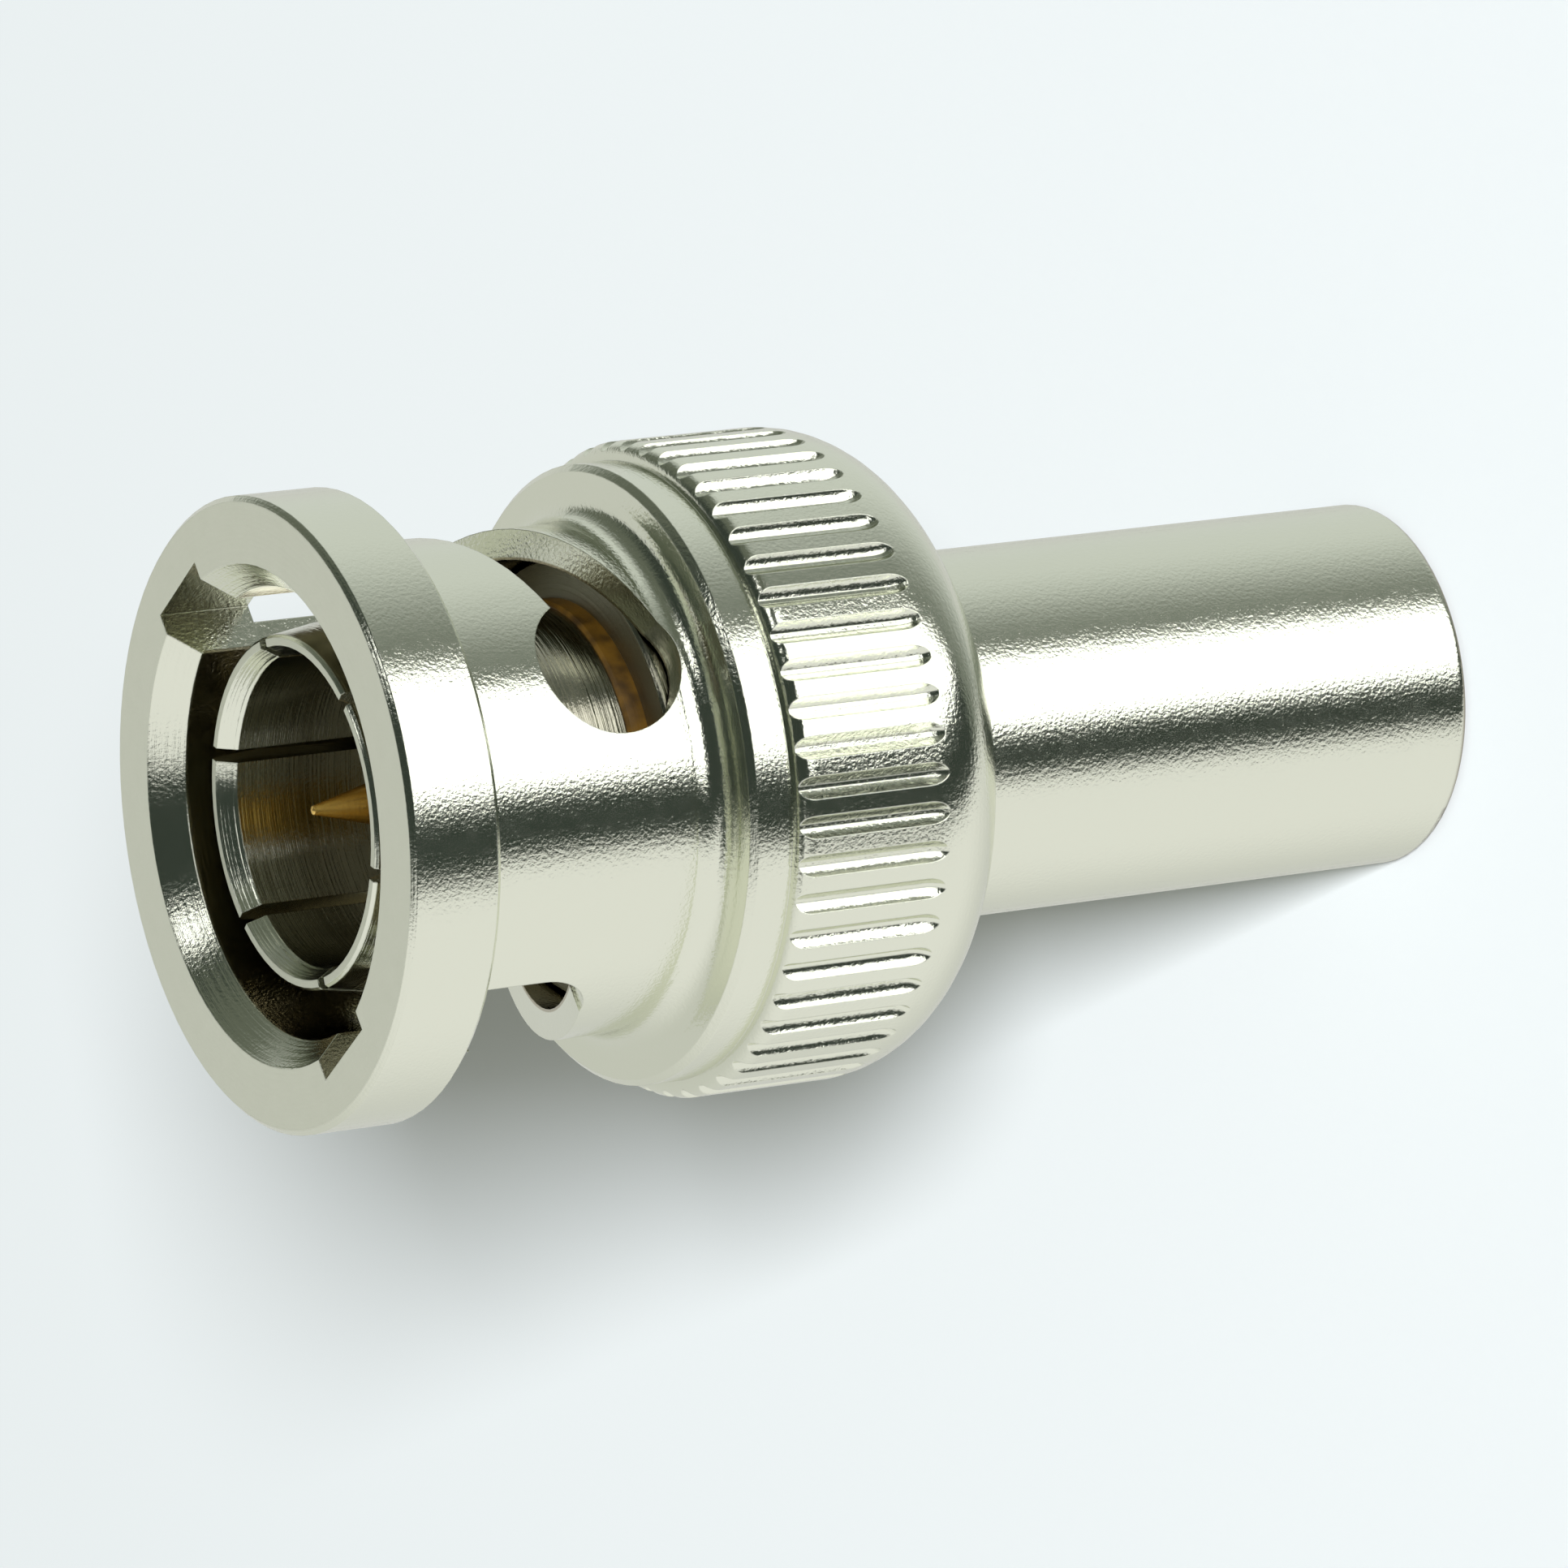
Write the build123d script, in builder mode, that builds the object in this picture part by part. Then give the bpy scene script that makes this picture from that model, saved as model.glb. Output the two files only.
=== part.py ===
"""BNC cable plug about the Z axis: the barrel's open end stands on z = 0 and the bayonet mouth faces up.

Sizes are in mm. X points to the top of the photographed pose and Y to its left, away from the viewer.
Angles run from +X towards +Y. Depths are measured back from the front face of the coupling nut.
"""
import os

from math import asin, cos, degrees, radians, sin

from build123d import *

os.makedirs("parts", exist_ok=True)

# Contact body, from its bore outwards
FINGER_BORE_R = 3.4
FINGER_TIP_WALL = 0.46
FINGER_LIP = 0.23
FINGER_BULGE_WALL = 0.63
FINGER_WAIST_WALL = 0.44
SEAT_WALL = 0.5
BODY_FLANGE_RISE = 0.95
INSULATOR_STEP = 0.8
BODY_NECK_WALL = 1.15
SPIGOT_STEP = 0.35

# Contact body, lengths
FINGER_SETBACK = 0.74
FINGER_CONE = 0.42
BULGE_BACK = 1.16
WAIST_BACK = 2.3
SEAT_BACK = 0.7
FINGER_SLOT_LENGTH = 4.26
FINGER_SLOT = 0.3
FINGER_SLOT_ANGLE = 9.6
FINGER_PAIRS = 3
BODY_FLANGE_LENGTH = 3.38
SPIGOT_LENGTH = 3.55

# Coupling nut, walls outwards from the body's flange
FLANGE_FIT = 0.07
NECK_FIT = 0.05
LEAD_IN_RISE = 0.55
LEAD_IN_LENGTH = 0.66
NECK_WALL = 0.68
RIM_WALL = 1.1
SHOULDER_RISE = 1.24
SHOULDER_FILLET = 0.62
GRIP_RISE = 0.41
DOME_DROP = 2.05

# Coupling nut, lengths backwards from its front face
RIM_LENGTH = 2.15
NECK_LENGTH = 6.1
BAND_LENGTH = 0.97
BAND_EDGE = 0.15
GRIP_LENGTH = 3.103
DOME_LENGTH = 2.317
EXIT_LENGTH = 1.15
COLLAR_LENGTH = 1.1
EXIT_GAP = 0.145

# Straight knurl of grooves with hollow flanks and a narrow floor
TEETH = 53
GROOVE_WIDTH = 0.5
GROOVE_FLOOR = 0.1
GROOVE_DEPTH = 0.2
GROOVE_HOLLOW = 0.023
GROOVE_EXIT = 0.187
GROOVE_RUNOUT = 0.5
GROOVE_ANGLE = -32.05

# Bayonet track: a notch in the rim, a round-ended entry, a sloping slot and a locking hole, twice
ENTRY_ANGLE = 30.2
NOTCH_WIDTH = 2.24
NOTCH_DEPTH = 0.9
NOTCH_OFFSET = 0.12
ENTRY_R = 1.325
ENTRY_LEAD = 1.2
LOCK_TURN = 90.9
LOCK_R = 1.68
LOCK_TO_SHOULDER = 2.09
SLOT_WIDTH = 2.15
SLOT_PITCH = 8.28

# Barrel
BARREL_GAP = 0.05
BARREL_WALL = 0.705
BARREL_LENGTH = 14.45
BARREL_STOP = 0.2
CABLE_CHAMFER = 0.3

# Insulators and centre pin
PIN_SETBACK = 1.2
PIN_TIP_R = 0.1
PIN_TIP_LENGTH = 0.04
PIN_CONE = 2.21
PIN_R = 0.675
PIN_COLLAR_RISE = 0.425
PIN_COLLAR_LENGTH = 3.0
PIN_COLLAR_BITE = 0.5
PIN_TAIL_WALL = 0.35
PIN_TAIL_LENGTH = 3.0
PIN_SOCKET_R = 0.55
PIN_SOCKET_DEPTH = 2.6
PIN_SOCKET_CONE = 0.3
INSULATOR_RECESS = 4.86
INSULATOR_HEAD = 3.9
REAR_INSULATOR_LENGTH = 2.0

# Gasket, thrust washer and wave washer
GASKET_LENGTH = 0.47
GASKET_RISE = 0.1
THRUST_GAP = 0.02
THRUST_LENGTH = 0.46
WAVE_HEIGHT = 1.42
WAVE_THICK = 0.25
WAVE_GAP = 0.1

# Edge breaks and how far the cutters overrun what they cut
EDGE = 0.12
BARREL_EDGE = 0.25
FINE_EDGE = 0.07
OVERRUN = 0.6
GROOVE_OVERRUN = 0.1
GROOVE_SWING = 70

# Radii
finger_tip_r = FINGER_BORE_R + FINGER_TIP_WALL
seat_r = FINGER_BORE_R + SEAT_WALL
body_flange_r = seat_r + BODY_FLANGE_RISE
body_bore_r = FINGER_BORE_R - INSULATOR_STEP
body_neck_r = body_bore_r + BODY_NECK_WALL
spigot_r = body_neck_r - SPIGOT_STEP
barrel_r = spigot_r + BARREL_WALL
cable_bore_r = spigot_r - BARREL_STOP
bore_r = body_flange_r + FLANGE_FIT
collar_r = body_neck_r + NECK_FIT
exit_r = barrel_r + EXIT_GAP
neck_r = bore_r + NECK_WALL
notch_wall_r = bore_r + NOTCH_DEPTH
rim_r = notch_wall_r + RIM_WALL
band_r = neck_r + SHOULDER_RISE
grip_r = band_r + GRIP_RISE
pin_collar_r = PIN_R + PIN_COLLAR_RISE
pin_tail_r = PIN_SOCKET_R + PIN_TAIL_WALL

# Depths of the coupling nut
shoulder = RIM_LENGTH + NECK_LENGTH
band_end = shoulder + BAND_LENGTH
grip_start = band_end + GRIP_RISE
grip_end = grip_start + GRIP_LENGTH
nut_end = grip_end + DOME_LENGTH
collar_back = nut_end - EXIT_LENGTH
collar_front = collar_back - COLLAR_LENGTH

# Depths of the pieces inside it and behind it
thrust_back = collar_front - THRUST_GAP
wave_back = thrust_back - THRUST_LENGTH
wave_front = wave_back - WAVE_HEIGHT
body_flange_front = wave_front - BODY_FLANGE_LENGTH
barrel_front = collar_back + BARREL_GAP
body_end = barrel_front + SPIGOT_LENGTH
insulator_front = FINGER_SETBACK + INSULATOR_RECESS
insulator_step = insulator_front + INSULATOR_HEAD
pin_step = insulator_step - PIN_COLLAR_BITE
insulator_split = pin_step + PIN_COLLAR_LENGTH
pin_end = insulator_split + PIN_TAIL_LENGTH
LENGTH = barrel_front + BARREL_LENGTH

# Depths and angles of the bayonet track
lock_depth = shoulder - LOCK_TO_SHOULDER
lock_angle = ENTRY_ANGLE - LOCK_TURN
slot_rise = SLOT_PITCH * LOCK_TURN / 360
slot_back_at_lock = lock_depth + LOCK_R
slot_back_at_entry = slot_back_at_lock - slot_rise
entry_end = slot_back_at_entry - ENTRY_R
entry_half_turn = degrees(asin(ENTRY_R / neck_r))
tongue_tip = slot_back_at_entry + SLOT_PITCH * entry_half_turn / 360 - SLOT_WIDTH


def at(radius, depth):
    """A point of a turned section: a radius, and the height of a depth behind the front face."""
    return (radius, LENGTH - depth)


def section(points):
    """The closed half section through points given as radius and depth."""
    with BuildSketch(Plane.XZ) as half:
        with BuildLine():
            Polyline(*[at(*point) for point in points], close=True)
        make_face()
    return half.sketch


def radial_plane(angle, depth, radius):
    """A plane that faces outwards at an angle, a depth and a radius, with its y along +Z."""
    out = Vector(cos(radians(angle)), sin(radians(angle)), 0)
    tangent = Vector(-sin(radians(angle)), cos(radians(angle)), 0)
    origin = out * radius + Vector(0, 0, LENGTH - depth)
    return Plane(origin=origin, x_dir=tangent, z_dir=out)


# The sloping slot's cutter is a radial section carried along a quarter turn of screw.
slot_mid_r = (bore_r + neck_r) / 2
with BuildPart() as slot_cutter:
    with BuildLine() as slot_path:
        Helix(pitch=SLOT_PITCH, height=slot_rise, radius=slot_mid_r)
    with BuildSketch(Plane.XZ):
        with Locations((slot_mid_r, 0)):
            Rectangle(NECK_WALL + 2 * OVERRUN, SLOT_WIDTH)
    sweep(path=slot_path.line, is_frenet=True)

# A knurl groove's cutter has its x outwards from the groove's floor, and rises out of the metal at the back.
groove_end = grip_end + GROOVE_EXIT - GROOVE_RUNOUT
runout_r = (GROOVE_RUNOUT**2 + GROOVE_DEPTH**2) / (2 * GROOVE_DEPTH)
groove_top = GROOVE_DEPTH + GROOVE_OVERRUN
floor_half = GROOVE_FLOOR / 2
mouth_half = GROOVE_WIDTH / 2
with BuildPart() as groove_cutter:
    with BuildSketch() as groove_shape:
        with BuildLine():
            Line((0, -floor_half), (0, floor_half))
            SagittaArc((0, floor_half), (GROOVE_DEPTH, mouth_half), GROOVE_HOLLOW)
            Polyline(
                (GROOVE_DEPTH, mouth_half),
                (groove_top, mouth_half),
                (groove_top, -mouth_half),
                (GROOVE_DEPTH, -mouth_half),
            )
            SagittaArc((GROOVE_DEPTH, -mouth_half), (0, -floor_half), GROOVE_HOLLOW)
        make_face()
    extrude(amount=groove_end - band_end)
    revolve(groove_shape.sketch, axis=Axis((runout_r, 0, 0), (0, -1, 0)), revolution_arc=GROOVE_SWING)

with BuildPart() as coupling_nut:
    fillet_foot = at(neck_r, shoulder - SHOULDER_FILLET)
    fillet_top = at(neck_r + SHOULDER_FILLET, shoulder)
    dome_end = at(grip_r - DOME_DROP, nut_end)
    with BuildSketch(Plane.XZ):
        with BuildLine():
            Polyline(
                at(bore_r + LEAD_IN_RISE, 0),
                at(rim_r - EDGE, 0),
                at(rim_r, EDGE),
                at(rim_r, RIM_LENGTH - EDGE),
                at(rim_r - EDGE, RIM_LENGTH),
                at(neck_r, RIM_LENGTH),
                fillet_foot,
            )
            TangentArc(fillet_foot, fillet_top, tangent=(0, -1))
            Polyline(
                fillet_top,
                at(band_r - BAND_EDGE, shoulder),
                at(band_r, shoulder + BAND_EDGE),
                at(band_r, band_end),
            )
            TangentArc(at(band_r, band_end), at(grip_r, grip_start), tangent=(1, 0))
            Line(at(grip_r, grip_start), at(grip_r, grip_end))
            TangentArc(at(grip_r, grip_end), dome_end, tangent=(0, -1))
            Polyline(
                dome_end,
                at(exit_r, nut_end),
                at(exit_r, collar_back),
                at(collar_r, collar_back),
                at(collar_r, collar_front),
                at(bore_r, collar_front),
                at(bore_r, LEAD_IN_LENGTH),
                at(bore_r + LEAD_IN_RISE, 0),
            )
        make_face()
    revolve(axis=Axis.Z)

    inner_r = bore_r - OVERRUN
    slot_height = LENGTH - slot_back_at_lock + SLOT_WIDTH / 2
    entry_height = entry_end - RIM_LENGTH
    tip_y = entry_end - tongue_tip
    for half_turn in (0, 180):
        slot_place = Location((0, 0, slot_height), (0, 0, lock_angle + half_turn))
        add(slot_cutter.part.moved(slot_place), mode=Mode.SUBTRACT)
        with BuildSketch(radial_plane(lock_angle + half_turn, lock_depth, inner_r)):
            Circle(LOCK_R)
        extrude(amount=NECK_WALL + 2 * OVERRUN, mode=Mode.SUBTRACT)
        with BuildSketch(radial_plane(ENTRY_ANGLE + half_turn, entry_end, inner_r)):
            Circle(ENTRY_R)
            with Locations((0, entry_height / 2)):
                Rectangle(2 * ENTRY_R, entry_height)
            Polygon(
                (-ENTRY_R, tip_y + ENTRY_LEAD),
                (-ENTRY_R - ENTRY_LEAD, tip_y - ENTRY_LEAD / 2),
                (-ENTRY_R, tip_y - ENTRY_LEAD / 2),
                align=None,
            )
        extrude(amount=NECK_WALL + 2 * OVERRUN, mode=Mode.SUBTRACT)

    # One straight groove across the mouth makes both notches in the rim.
    with Locations(Location((0, 0, LENGTH), (0, 0, ENTRY_ANGLE))):
        with Locations((0, NOTCH_OFFSET, 0)):
            Box(2 * notch_wall_r, NOTCH_WIDTH, 2 * RIM_LENGTH, mode=Mode.SUBTRACT)

    with Locations((0, 0, LENGTH - groove_end)):
        with PolarLocations(grip_r - GROOVE_DEPTH, TEETH, start_angle=GROOVE_ANGLE):
            add(groove_cutter.part, mode=Mode.SUBTRACT)

with BuildPart() as contact_body:
    body_points = [
        (finger_tip_r - FINGER_LIP, FINGER_SETBACK),
        (finger_tip_r - FINE_EDGE, FINGER_SETBACK),
        (finger_tip_r, FINGER_SETBACK + FINE_EDGE),
        (FINGER_BORE_R + FINGER_BULGE_WALL, FINGER_SETBACK + BULGE_BACK),
        (FINGER_BORE_R + FINGER_WAIST_WALL, FINGER_SETBACK + BULGE_BACK + WAIST_BACK),
        (seat_r, FINGER_SETBACK + BULGE_BACK + WAIST_BACK + SEAT_BACK),
        (seat_r, body_flange_front),
        (body_flange_r - FINE_EDGE, body_flange_front),
        (body_flange_r, body_flange_front + FINE_EDGE),
        (body_flange_r, wave_front - EDGE),
        (body_flange_r - EDGE, wave_front),
        (body_neck_r, wave_front),
        (body_neck_r, barrel_front),
        (spigot_r, barrel_front),
        (spigot_r, body_end),
        (body_bore_r, body_end),
        (body_bore_r, insulator_step),
        (FINGER_BORE_R, insulator_step),
        (FINGER_BORE_R, FINGER_SETBACK + FINGER_CONE),
    ]
    revolve(section(body_points), axis=Axis.Z)
    with Locations((0, 0, LENGTH - FINGER_SETBACK)):
        with PolarLocations(0, FINGER_PAIRS, start_angle=FINGER_SLOT_ANGLE, angular_range=180):
            Box(2 * bore_r, FINGER_SLOT, 2 * FINGER_SLOT_LENGTH, mode=Mode.SUBTRACT)

with BuildPart() as barrel:
    barrel_points = [
        (spigot_r, barrel_front),
        (barrel_r - EDGE, barrel_front),
        (barrel_r, barrel_front + EDGE),
        (barrel_r, LENGTH),
        (cable_bore_r + CABLE_CHAMFER, LENGTH),
        (cable_bore_r, LENGTH - CABLE_CHAMFER),
        (cable_bore_r, body_end),
        (spigot_r, body_end),
    ]
    revolve(section(barrel_points), axis=Axis.Z)
    fillet(barrel.edges().group_by(Axis.Z)[0].sort_by(SortBy.RADIUS)[-1], BARREL_EDGE)

with BuildPart() as front_insulator:
    front_insulator_points = [
        (PIN_R, insulator_front),
        (FINGER_BORE_R, insulator_front),
        (FINGER_BORE_R, insulator_step),
        (body_bore_r, insulator_step),
        (body_bore_r, insulator_split),
        (pin_collar_r, insulator_split),
        (pin_collar_r, pin_step),
        (PIN_R, pin_step),
    ]
    revolve(section(front_insulator_points), axis=Axis.Z)

with BuildPart() as rear_insulator:
    rear_insulator_points = [
        (pin_tail_r, insulator_split),
        (body_bore_r, insulator_split),
        (body_bore_r, insulator_split + REAR_INSULATOR_LENGTH),
        (pin_tail_r, insulator_split + REAR_INSULATOR_LENGTH),
    ]
    revolve(section(rear_insulator_points), axis=Axis.Z)

with BuildPart() as centre_pin:
    pin_points = [
        (0, PIN_SETBACK),
        (PIN_TIP_R, PIN_SETBACK + PIN_TIP_LENGTH),
        (PIN_R, PIN_SETBACK + PIN_TIP_LENGTH + PIN_CONE),
        (PIN_R, pin_step),
        (pin_collar_r, pin_step),
        (pin_collar_r, insulator_split),
        (pin_tail_r, insulator_split),
        (pin_tail_r, pin_end),
        (PIN_SOCKET_R + FINE_EDGE, pin_end),
        (PIN_SOCKET_R, pin_end - FINE_EDGE),
        (PIN_SOCKET_R, pin_end - PIN_SOCKET_DEPTH),
        (0, pin_end - PIN_SOCKET_DEPTH - PIN_SOCKET_CONE),
    ]
    revolve(section(pin_points), axis=Axis.Z)

with BuildPart() as gasket:
    gasket_r = seat_r + GASKET_RISE
    gasket_front = body_flange_front - GASKET_LENGTH
    gasket_points = [
        (seat_r, gasket_front),
        (gasket_r - FINE_EDGE, gasket_front),
        (gasket_r, gasket_front + FINE_EDGE),
        (gasket_r, body_flange_front),
        (seat_r, body_flange_front),
    ]
    revolve(section(gasket_points), axis=Axis.Z)

# The wave washer is a flat ring bent about one axis, so that it bears at two points on either side.
with BuildPart() as wave_washer:
    wave_r = bore_r - WAVE_GAP
    wave_end = wave_back - WAVE_THICK
    with BuildSketch(Plane.XZ):
        with BuildLine():
            ThreePointArc(at(-wave_r, wave_back), at(0, wave_front + WAVE_THICK), at(wave_r, wave_back))
            Line(at(wave_r, wave_back), at(wave_r, wave_end))
            ThreePointArc(at(wave_r, wave_end), at(0, wave_front), at(-wave_r, wave_end))
            Line(at(-wave_r, wave_end), at(-wave_r, wave_back))
        make_face()
    extrude(amount=2 * wave_r, both=True)
    with BuildSketch(Plane.XY.offset(LENGTH - thrust_back)):
        Circle(wave_r)
        Circle(body_neck_r + WAVE_GAP, mode=Mode.SUBTRACT)
    extrude(amount=thrust_back - body_flange_front, mode=Mode.INTERSECT)

with BuildPart() as thrust_washer:
    thrust_points = [
        (collar_r, wave_back),
        (body_flange_r, wave_back),
        (body_flange_r, thrust_back),
        (collar_r, thrust_back),
    ]
    revolve(section(thrust_points), axis=Axis.Z)

pieces = {
    "coupling_nut": coupling_nut,
    "contact_body": contact_body,
    "barrel": barrel,
    "front_insulator": front_insulator,
    "rear_insulator": rear_insulator,
    "centre_pin": centre_pin,
    "gasket": gasket,
    "wave_washer": wave_washer,
    "thrust_washer": thrust_washer,
}
for name, piece in pieces.items():
    piece.part.label = name
    export_step(piece.part, f"parts/{name}.step")
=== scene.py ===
"""Looks of a nickel-plated bayonet cable plug that stands on its barrel's end, with the mouth up.

The camera is rolled so that the plug lies across the picture as it does in the photograph. The metal
reflects a small studio that is turned with the picture: a pale table, a softbox and a dark side.
"""

from math import cos, radians, sin

import bpy
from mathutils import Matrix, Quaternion, Vector


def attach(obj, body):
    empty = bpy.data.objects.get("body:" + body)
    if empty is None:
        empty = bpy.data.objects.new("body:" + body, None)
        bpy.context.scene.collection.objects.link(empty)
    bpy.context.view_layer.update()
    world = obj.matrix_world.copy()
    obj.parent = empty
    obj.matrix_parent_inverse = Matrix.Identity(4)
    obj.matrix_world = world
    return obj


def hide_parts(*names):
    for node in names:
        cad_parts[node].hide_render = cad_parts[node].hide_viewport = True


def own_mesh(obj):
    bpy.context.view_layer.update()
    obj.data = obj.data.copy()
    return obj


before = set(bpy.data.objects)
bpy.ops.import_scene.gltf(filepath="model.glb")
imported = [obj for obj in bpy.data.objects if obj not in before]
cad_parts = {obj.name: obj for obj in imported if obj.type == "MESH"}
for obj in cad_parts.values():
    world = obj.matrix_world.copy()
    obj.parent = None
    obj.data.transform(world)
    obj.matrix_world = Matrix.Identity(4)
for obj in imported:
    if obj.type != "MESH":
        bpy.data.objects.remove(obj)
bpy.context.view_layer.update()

MM = 0.001

# The plug's axis, from its cable end to its mouth
AXIS = (0, 0, 1)

# Camera, in mm and degrees: the point that it aims at, its distance, angles and lens, and its near clip
CAMERA_AIM = (-0.668, 0.0, 15.505)
CAMERA_DISTANCE = 230.72
CAMERA_AZIMUTH = 3.43
CAMERA_ELEVATION = 29.314
CAMERA_ROLL = 96.978
CAMERA_LENS = 239.86
CAMERA_SENSOR = 36.0
CAMERA_CLIP = 2.3072

# Directions of the photographed studio: up from its table, and along the table towards the viewer
TABLE_UP_ANGLE = -28.4
TABLE_UP = (cos(radians(TABLE_UP_ANGLE)), sin(radians(TABLE_UP_ANGLE)), 0.0)
TABLE_NEAR = (TABLE_UP[1], -TABLE_UP[0], 0.0)

# A small bright lamp that the edges and the mouth's cone catch
GLINT_DIRECTION = (0.63, -0.36, 0.69)

# Linear colours of the studio
TABLE_NEAR_COLOUR = (0.88, 0.88, 0.87, 1)
TABLE_FAR_COLOUR = (0.65, 0.66, 0.63, 1)
WALL_COLOUR = (0.68, 0.71, 0.68, 1)
CEILING_COLOUR = (0.19, 0.21, 0.18, 1)
DARK_COLOUR = (0.040, 0.050, 0.042, 1)
SIDE_COLOUR = (0.13, 0.145, 0.115, 1)
SOFTBOX_COLOUR = (2.2, 2.2, 2.2, 1)
GLINT_COLOUR = (1.9, 1.9, 1.9, 1)
FILL_COLOUR = (0.25, 0.252, 0.205, 1)
FLOOR_COLOUR = (0.84, 0.89, 0.94, 1)

# Where each part of the studio sets in and is full: how far a direction reaches near, up or along the axis
CEILING_NEAR = (-0.70, 0.10)
SIDE_AXIS = (-0.15, 0.30)
DARK_NEAR = (0.10, 0.20)
DARK_AXIS = (0.45, 0.75)
SOFTBOX_NEAR = (0.18, 0.22)
SOFTBOX_UP = (0.41, 0.46)
SOFTBOX_AXIS = (0.30, 0.25)
GLINT_EDGE = (0.984, 0.992)
TABLE_DEPTH = (-0.5, 0.5)
TABLE_EDGE = (0.02, -0.04)
BEYOND_AXIS = (0.78, 0.90)
BEYOND_UP = (-0.32, -0.20)

# Floor, and the key lamp behind the camera, lifted towards the top of the picture
FLOOR_SIDE = 3000.0
FLOOR_ROUGHNESS = 0.9
KEY_LIFT = 0.09
KEY_DISTANCE = 2000.0
KEY_SIDE = 320.0
KEY_WATTS = 66.0

# Linear colours of the pieces
NICKEL = (0.80, 0.82, 0.70, 1)
# The grime colours darken the corners both as grime and as painted shade
NICKEL_GRIME_AND_SHADE = (0.26, 0.22, 0.16, 1)
# Painted shade for the body inside the nut and for the nut's bore
NICKEL_FINGER_SHADE = (0.38, 0.37, 0.29, 1)
NICKEL_BORE_SHADE = (0.42, 0.38, 0.27, 1)
GOLD = (0.95, 0.64, 0.20, 1)
GOLD_GRIME_AND_SHADE = (0.50, 0.26, 0.05, 1)
BRONZE = (0.74, 0.50, 0.27, 1)
BRONZE_GRIME_AND_SHADE = (0.30, 0.17, 0.08, 1)
PTFE = (0.84, 0.83, 0.79, 1)
PTFE_SHADE = (0.70, 0.68, 0.62, 1)
# Amber silicone, darkened all over as painted shade for its place inside the nut, with a darker tone for
# its mottle
SILICONE_IN_SHADE = (0.075, 0.038, 0.004, 1)
SILICONE_MOTTLE_IN_SHADE = (0.022, 0.011, 0.002, 1)

# Noise of the surfaces: grains per millimetre, and how many finer layers it has
RING_NOISE = (14, 3)
GRAIN_NOISE = (12, 3)
WEAR_NOISE = (2.5, 4)
MOTTLE_NOISE = (1.5, 5)
SKIN_RING_NOISE = (10, 3)
SKIN_NOISE = (12, 3)

# Edge rounding of the metal in mm, and how much the wear changes its roughness
EDGE_ROUND = 0.04
EDGE_SAMPLES = 4
WEAR = 0.05

# Grime and painted shade in the corners, darker where ambient occlusion finds them closed in: its reach in
# mm, and the openness at which it sets in and is full
GRIME_AND_SHADE_REACH = 1.2
GRIME_AND_SHADE_OPENNESS = (0.55, 0.15)
GRIME_AND_SHADE_SAMPLES = 8

# The shares of a normal along the axis at which cones and end faces begin and are full
CONE_SLOPE = (0.3, 0.6)
FACE_SLOPE = (0.90, 0.98)

# The noise levels at which the shade of a moulded piece begins and is full
MOTTLE_LEVEL = (0.35, 0.7)

# The coupling nut's front is faced satin above a height, in mm
SATIN_HEIGHT = 26.5
SATIN_FADE = 0.1

# Painted shade in mm, a darker colour deep inside: the nut's bore below the mouth's cone, and the fingers
# below their tips, which stay bright
SHADE_ZONE_FADE = 0.04
NUT_BORE_R = 5.0
CONE_FOOT = 27.74
CONE_FADE = 0.1
FINGER_REACH = 10.0
FINGER_SHADE_HEIGHT = 25.6
FINGER_FADE = 1.5


def add_node(tree, kind, inputs=None, **settings):
    """A node with its settings. An input takes a value, or the output socket of another node."""
    made = tree.nodes.new(kind)
    for key, value in settings.items():
        setattr(made, key, value)
    for socket, value in (inputs or {}).items():
        if isinstance(value, bpy.types.NodeSocket):
            tree.links.new(value, made.inputs[socket])
        else:
            made.inputs[socket].default_value = value
    return made


def calculate(tree, operation, first, second):
    """The output of a Math node on two values."""
    return add_node(tree, "ShaderNodeMath", {0: first, 1: second}, operation=operation).outputs[0]


def ramp(tree, value, start, end):
    """A smooth rise from 0 at start to 1 at end."""
    inputs = {"Value": value, "From Min": start, "From Max": end}
    return add_node(tree, "ShaderNodeMapRange", inputs, interpolation_type="SMOOTHSTEP").outputs[0]


def between(tree, factor, low, high):
    """A value that runs from low to high as the factor runs from 0 to 1."""
    inputs = {"Value": factor, "To Min": low, "To Max": high}
    return add_node(tree, "ShaderNodeMapRange", inputs).outputs[0]


def mix(tree, factor, first, second):
    """Two colours mixed by a factor."""
    inputs = {0: factor, 6: first, 7: second}
    return add_node(tree, "ShaderNodeMix", inputs, data_type="RGBA").outputs[2]


def along(tree, vector, direction):
    """How far a vector reaches along a direction."""
    inputs = {0: vector, 1: direction}
    return add_node(tree, "ShaderNodeVectorMath", inputs, operation="DOT_PRODUCT").outputs["Value"]


def make_camera():
    """The camera at the photograph's angle, rolled with the picture."""
    azimuth, elevation = radians(CAMERA_AZIMUTH), radians(CAMERA_ELEVATION)
    forward = Vector((-sin(azimuth) * cos(elevation), cos(azimuth) * cos(elevation), -sin(elevation)))
    data = bpy.data.cameras.new("camera")
    data.lens = CAMERA_LENS
    data.sensor_width = CAMERA_SENSOR
    data.clip_start = CAMERA_CLIP * MM
    data.clip_end = FLOOR_SIDE * MM
    camera = bpy.data.objects.new("camera", data)
    camera.location = (Vector(CAMERA_AIM) - CAMERA_DISTANCE * forward) * MM
    camera.rotation_mode = "QUATERNION"
    roll = Quaternion((0, 0, 1), -radians(CAMERA_ROLL))
    camera.rotation_quaternion = forward.to_track_quat("-Z", "Y") @ roll
    bpy.context.scene.collection.objects.link(camera)
    bpy.context.scene.camera = camera
    return camera


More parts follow.
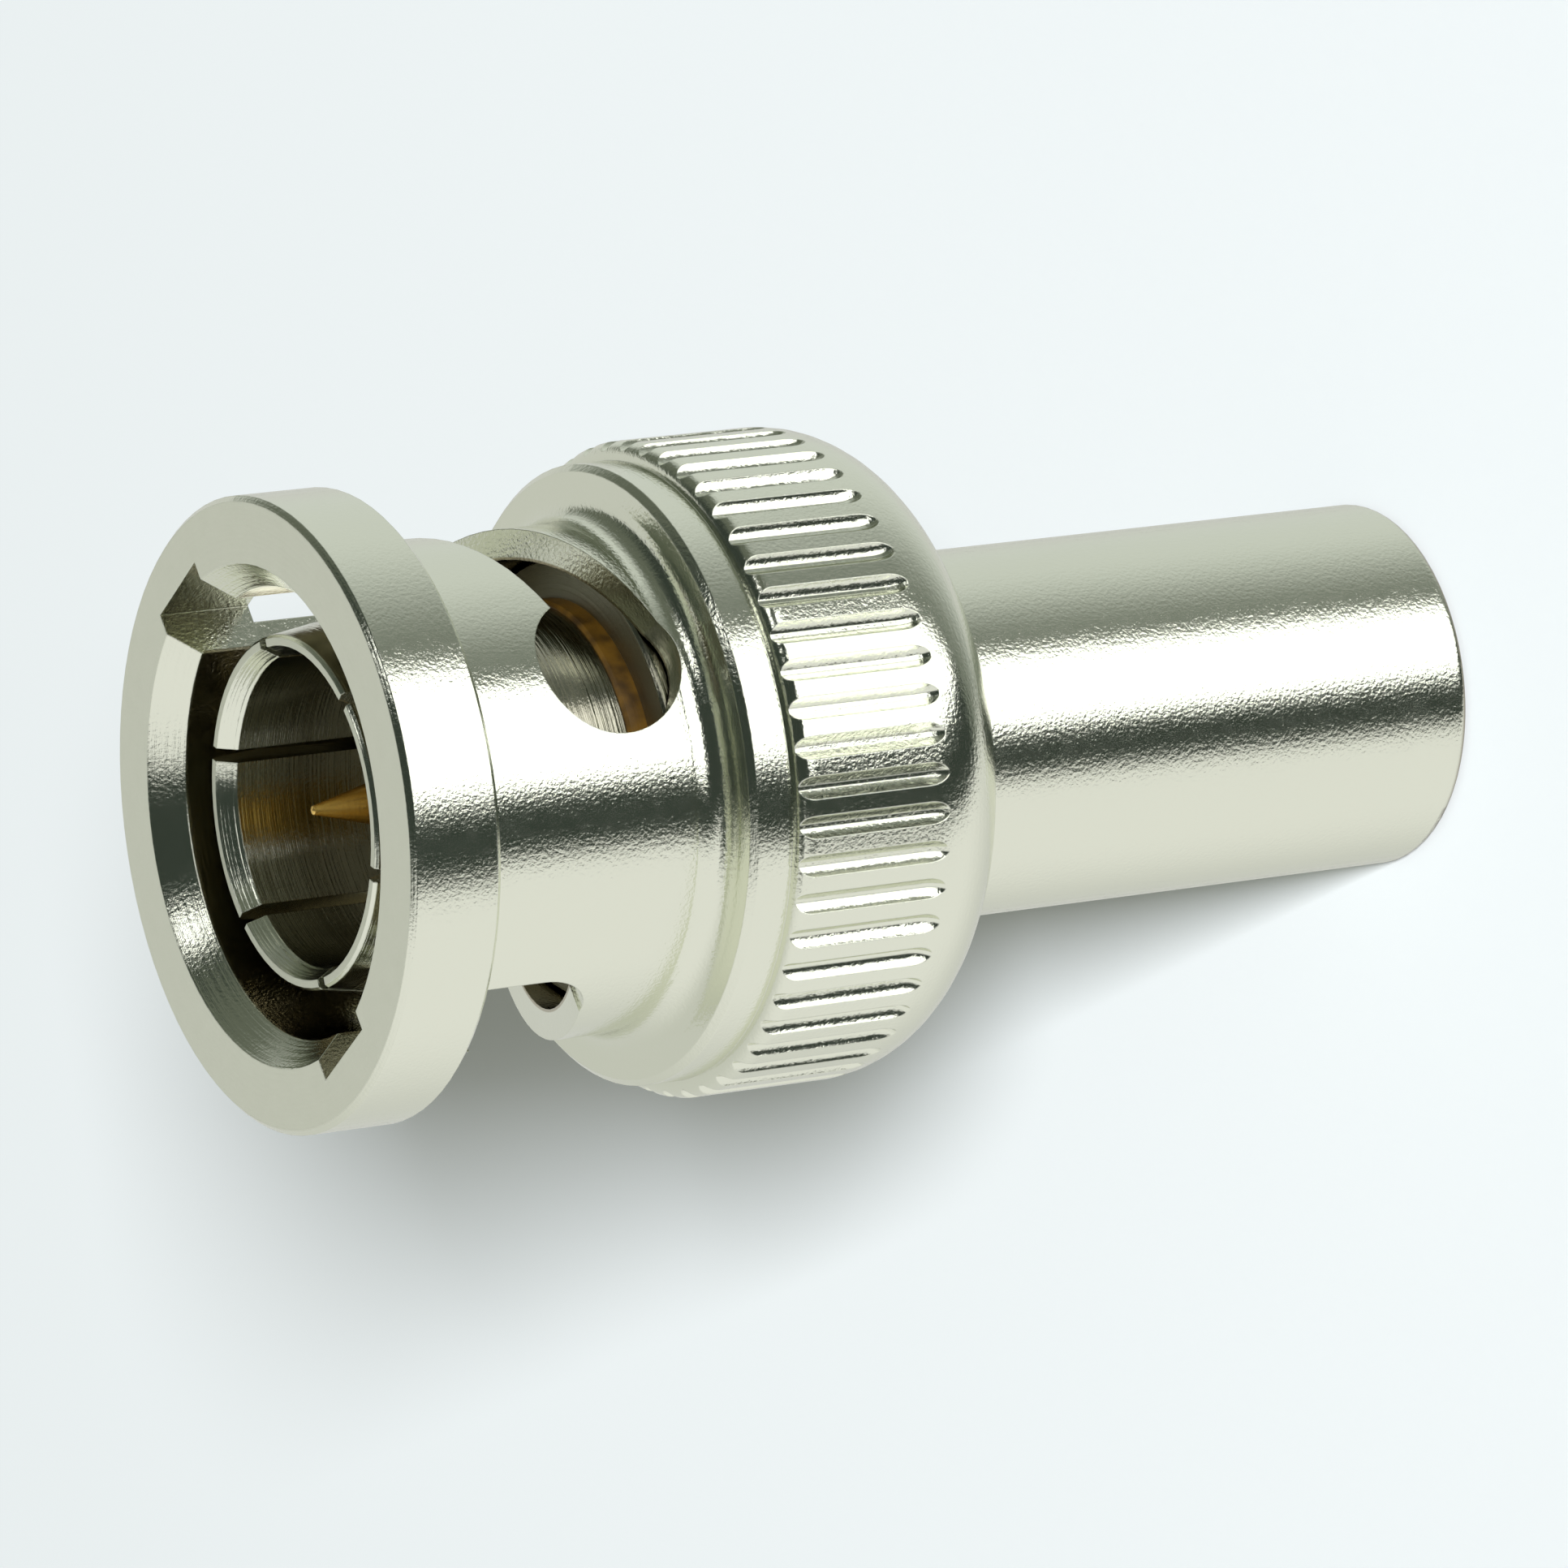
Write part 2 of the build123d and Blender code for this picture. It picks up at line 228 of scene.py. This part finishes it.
def make_floor():
    """A plain pale floor that takes the plug's shadow. The metal reflects the studio in its place."""
    half = FLOOR_SIDE * MM / 2
    mesh = bpy.data.meshes.new("floor")
    corners = [(-half, -half, 0), (half, -half, 0), (half, half, 0), (-half, half, 0)]
    mesh.from_pydata(corners, [], [(0, 1, 2, 3)])
    floor = bpy.data.objects.new("floor", mesh)
    material = bpy.data.materials.new("floor")
    material.use_nodes = True
    shader = material.node_tree.nodes["Principled BSDF"]
    shader.inputs["Base Color"].default_value = FLOOR_COLOUR
    shader.inputs["Roughness"].default_value = FLOOR_ROUGHNESS
    shader.inputs["Specular IOR Level"].default_value = 0.0
    mesh.materials.append(material)
    floor.visible_glossy = False
    bpy.context.scene.collection.objects.link(floor)


def make_world():
    """A plain fill for the floor and the soft parts, and the photographed studio for the metal."""
    world = bpy.data.worlds.new("studio")
    world.use_nodes = True
    world.cycles.sampling_method = "NONE"
    tree = world.node_tree
    direction = add_node(tree, "ShaderNodeTexCoord").outputs["Generated"]
    up = along(tree, direction, TABLE_UP)
    near = along(tree, direction, TABLE_NEAR)
    axis = along(tree, direction, AXIS)

    room = mix(tree, ramp(tree, near, *CEILING_NEAR), WALL_COLOUR, CEILING_COLOUR)
    room = mix(tree, ramp(tree, axis, *SIDE_AXIS), room, SIDE_COLOUR)
    dark_side = calculate(tree, "MAXIMUM", ramp(tree, near, *DARK_NEAR), ramp(tree, axis, *DARK_AXIS))
    room = mix(tree, dark_side, room, DARK_COLOUR)
    softbox = calculate(tree, "MULTIPLY", ramp(tree, near, *SOFTBOX_NEAR), ramp(tree, up, *SOFTBOX_UP))
    softbox = calculate(tree, "MULTIPLY", softbox, ramp(tree, axis, *SOFTBOX_AXIS))
    room = mix(tree, softbox, room, SOFTBOX_COLOUR)
    glint = along(tree, direction, Vector(GLINT_DIRECTION).normalized())
    room = mix(tree, ramp(tree, glint, *GLINT_EDGE), room, GLINT_COLOUR)
    table = mix(tree, ramp(tree, near, *TABLE_DEPTH), TABLE_FAR_COLOUR, TABLE_NEAR_COLOUR)
    studio = mix(tree, ramp(tree, up, *TABLE_EDGE), room, table)
    beyond = calculate(tree, "MULTIPLY", ramp(tree, axis, *BEYOND_AXIS), ramp(tree, up, *BEYOND_UP))
    studio = mix(tree, beyond, studio, DARK_COLOUR)

    rays = add_node(tree, "ShaderNodeLightPath")
    seen = mix(tree, rays.outputs["Is Glossy Ray"], FILL_COLOUR, studio)
    seen = mix(tree, rays.outputs["Is Camera Ray"], seen, FLOOR_COLOUR)
    tree.links.new(seen, tree.nodes["Background"].inputs["Color"])
    bpy.context.scene.world = world


def make_key_lamp(camera):
    """The lamp that lights the floor and drops the plug's shadow just below it in the picture."""
    data = bpy.data.lights.new("key", "AREA")
    data.size = KEY_SIDE * MM
    data.energy = KEY_WATTS
    lamp = bpy.data.objects.new("key", data)
    turn = camera.rotation_quaternion
    towards = (turn @ Vector((0, KEY_LIFT, 1))).normalized()
    lamp.location = (Vector(CAMERA_AIM) + KEY_DISTANCE * towards) * MM
    lamp.rotation_mode = "QUATERNION"
    lamp.rotation_quaternion = (-towards).to_track_quat("-Z", "Y")
    lamp.visible_camera = False
    lamp.visible_glossy = False
    bpy.context.scene.collection.objects.link(lamp)


def new_material(name):
    """A material, its shader and the place on the piece in millimetres."""
    material = bpy.data.materials.new(name)
    material.use_nodes = True
    tree = material.node_tree
    place = add_node(tree, "ShaderNodeTexCoord").outputs["Object"]
    inputs = {0: place, "Scale": 1 / MM}
    place = add_node(tree, "ShaderNodeVectorMath", inputs, operation="SCALE").outputs[0]
    return material, tree.nodes["Principled BSDF"], place


def noise(tree, place, scale, detail):
    """Noise of a number of grains per millimetre."""
    inputs = {"Vector": place, "Scale": scale, "Detail": detail}
    return add_node(tree, "ShaderNodeTexNoise", inputs).outputs[0]


def radius_of(tree, place):
    """The distance of a place from the axis."""
    inputs = {0: place, 1: (1, 1, 0)}
    flat = add_node(tree, "ShaderNodeVectorMath", inputs, operation="MULTIPLY").outputs[0]
    return add_node(tree, "ShaderNodeVectorMath", {0: flat}, operation="LENGTH").outputs["Value"]


def turned_place(tree, place):
    """The place on a lathe-turned piece, the same all around its axis."""
    inputs = {0: radius_of(tree, place), 1: along(tree, place, AXIS)}
    return add_node(tree, "ShaderNodeCombineXYZ", inputs).outputs[0]


def bump(tree, height, distance, normal):
    """A normal raised by a height map, whose distance is a value or a socket in metres."""
    inputs = {"Height": height, "Distance": distance, "Normal": normal}
    return add_node(tree, "ShaderNodeBump", inputs).outputs[0]


def turned_metal(name, colour, grime_and_shade, roughness, matte, rings, face_rings, grain,
                 satin_from=0.0, shade_zone=None):
    """Metal with turning rings, a fine grain, rounded edges, satin end faces, and grime with painted shade
    in its corners.

    Rings, face rings and grain are heights in mm. The last argument paints shade: a darker colour that
    takes over within a radius and from a height down to the one where it is full.
    """
    material, shader, place = new_material(name)
    tree = material.node_tree
    facing = along(tree, add_node(tree, "ShaderNodeNewGeometry").outputs["Normal"], AXIS)
    facing = calculate(tree, "ABSOLUTE", facing, 0.0)
    edge = add_node(tree, "ShaderNodeBevel", {"Radius": EDGE_ROUND * MM}, samples=EDGE_SAMPLES).outputs[0]
    height = along(tree, place, AXIS)
    faced = ramp(tree, height, satin_from - SATIN_FADE, satin_from)
    coned = calculate(tree, "MULTIPLY", ramp(tree, facing, *CONE_SLOPE), faced)
    ring_height = between(tree, coned, rings * MM, face_rings * MM)
    normal = bump(tree, noise(tree, turned_place(tree, place), *RING_NOISE), ring_height, edge)
    normal = bump(tree, noise(tree, place, *GRAIN_NOISE), grain * MM, normal)
    tree.links.new(normal, shader.inputs["Normal"])

    # Grime and painted shade: the colour darkens where the corners are closed in
    inputs = {"Distance": GRIME_AND_SHADE_REACH * MM}
    openness = add_node(tree, "ShaderNodeAmbientOcclusion", inputs, samples=GRIME_AND_SHADE_SAMPLES).outputs["AO"]
    surface = mix(tree, ramp(tree, openness, *GRIME_AND_SHADE_OPENNESS), colour, grime_and_shade)
    # Painted shade: deep inside, the surface takes a darker colour
    if shade_zone:
        shade_colour, reach, top, foot = shade_zone
        inside = ramp(tree, radius_of(tree, place), reach, reach - SHADE_ZONE_FADE)
        below = ramp(tree, height, top, foot)
        surface = mix(tree, calculate(tree, "MULTIPLY", inside, below), surface, shade_colour)
    tree.links.new(surface, shader.inputs["Base Color"])

    satin = calculate(tree, "MULTIPLY", ramp(tree, facing, *FACE_SLOPE), faced)
    level = between(tree, satin, roughness, matte)
    wear = between(tree, noise(tree, place, *WEAR_NOISE), -WEAR, WEAR)
    tree.links.new(calculate(tree, "ADD", level, wear), shader.inputs["Roughness"])
    shader.inputs["Metallic"].default_value = 1.0
    return material


def moulded(name, colour, shade, roughness, grain):
    """A plastic or rubber with a soft mottle and a fine skin, whose grain is a height in mm."""
    material, shader, place = new_material(name)
    tree = material.node_tree
    mottle = ramp(tree, noise(tree, place, *MOTTLE_NOISE), *MOTTLE_LEVEL)
    tree.links.new(mix(tree, mottle, colour, shade), shader.inputs["Base Color"])
    surface = add_node(tree, "ShaderNodeNewGeometry").outputs["Normal"]
    normal = bump(tree, noise(tree, turned_place(tree, place), *SKIN_RING_NOISE), grain * MM, surface)
    normal = bump(tree, noise(tree, place, *SKIN_NOISE), grain * MM, normal)
    tree.links.new(normal, shader.inputs["Normal"])
    shader.inputs["Roughness"].default_value = roughness
    return material


def make_materials():
    """The material of each node."""
    # Painted shade for the nut's bore and for the body below the fingers' tips
    shaded_nut_bore = (NICKEL_BORE_SHADE, NUT_BORE_R, CONE_FOOT, CONE_FOOT - CONE_FADE)
    shaded_fingers = (NICKEL_FINGER_SHADE, FINGER_REACH, FINGER_SHADE_HEIGHT + FINGER_FADE, FINGER_SHADE_HEIGHT)
    return {
        "coupling_nut": turned_metal(
            "nut_nickel", NICKEL, NICKEL_GRIME_AND_SHADE, roughness=0.13, matte=0.36,
            rings=0.003, face_rings=0.010, grain=0.008, satin_from=SATIN_HEIGHT, shade_zone=shaded_nut_bore),
        "contact_body": turned_metal(
            "body_nickel", NICKEL, NICKEL_GRIME_AND_SHADE, roughness=0.14, matte=0.50,
            rings=0.016, face_rings=0.008, grain=0.004, shade_zone=shaded_fingers),
        "barrel": turned_metal(
            "barrel_nickel", NICKEL, NICKEL_GRIME_AND_SHADE, roughness=0.15, matte=0.36,
            rings=0.001, face_rings=0.003, grain=0.010),
        "thrust_washer": turned_metal(
            "washer_nickel", NICKEL, NICKEL_GRIME_AND_SHADE, roughness=0.28, matte=0.36,
            rings=0.003, face_rings=0.003, grain=0.004),
        "centre_pin": turned_metal(
            "pin_gold", GOLD, GOLD_GRIME_AND_SHADE, roughness=0.20, matte=0.30,
            rings=0.002, face_rings=0.002, grain=0.003),
        "wave_washer": turned_metal(
            "spring_bronze", BRONZE, BRONZE_GRIME_AND_SHADE, roughness=0.30, matte=0.36,
            rings=0.001, face_rings=0.001, grain=0.004),
        "front_insulator": moulded("insulator_ptfe", PTFE, PTFE_SHADE, roughness=0.50, grain=0.003),
        "rear_insulator": moulded("rear_ptfe", PTFE, PTFE_SHADE, roughness=0.55, grain=0.003),
        "gasket": moulded("gasket_silicone", SILICONE_IN_SHADE, SILICONE_MOTTLE_IN_SHADE, roughness=0.40, grain=0.004),
    }


def make_spring(material):
    """The wave washer as its own copy of the mesh, held by the plug's body in place of the imported piece.
    """
    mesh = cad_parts["wave_washer"].data.copy()
    spring = bpy.data.objects.new("wave_spring", mesh)
    bpy.context.scene.collection.objects.link(spring)
    spring.material_slots[0].material = material
    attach(spring, "plug_body")
    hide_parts("wave_washer")
    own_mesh(spring)


make_floor()
make_world()
make_key_lamp(make_camera())
materials = make_materials()
for name, material in materials.items():
    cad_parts[name].material_slots[0].material = material
make_spring(materials["wave_washer"])

bpy.context.scene.view_settings.view_transform = "Standard"
